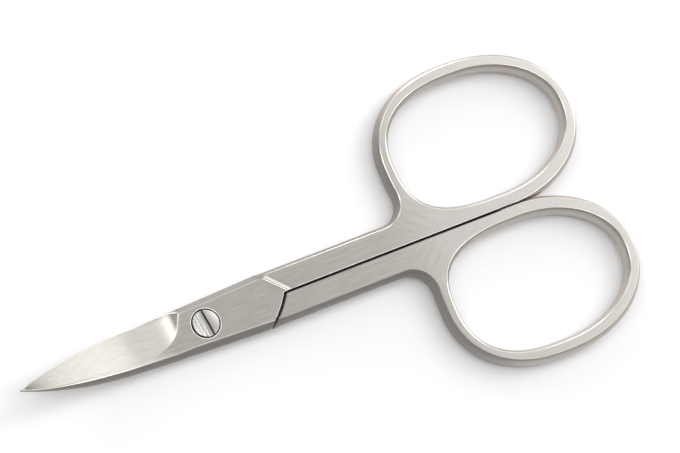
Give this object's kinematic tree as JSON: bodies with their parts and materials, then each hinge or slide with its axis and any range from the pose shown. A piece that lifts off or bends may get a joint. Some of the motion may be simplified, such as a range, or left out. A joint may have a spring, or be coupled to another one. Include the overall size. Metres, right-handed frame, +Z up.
{
  "type": "curved nail scissors",
  "caption": "Small steel scissors for trimming nails, with curved tapering blades, a slotted pivot screw and oval finger loops.",
  "frame": {"origin": "on the surface the scissors lie on, under the middle of the whole pair", "axes": "+X from the blade tips toward the finger loops, +Y toward the upper half's finger loop, +Z up, toward the screw head and along the hinge axis"},
  "size_m": [0.0906, 0.0444, 0.0065],
  "materials": {
    "satin_steel": "satin brushed",
    "bright_steel": "polished"
  },
  "bodies": {
    "lower": {"lower_half": "satin_steel", "pivot_screw": "bright_steel"},
    "upper": {"upper_half": "satin_steel"}
  },
  "joints": [
    {"name": "pivot", "type": "hinge", "parent": "lower", "child": "upper", "pos_m": [-0.01713, 0, 0.0015], "axis": [0, 0, 1], "range_deg": [0, 70]}
  ]
}
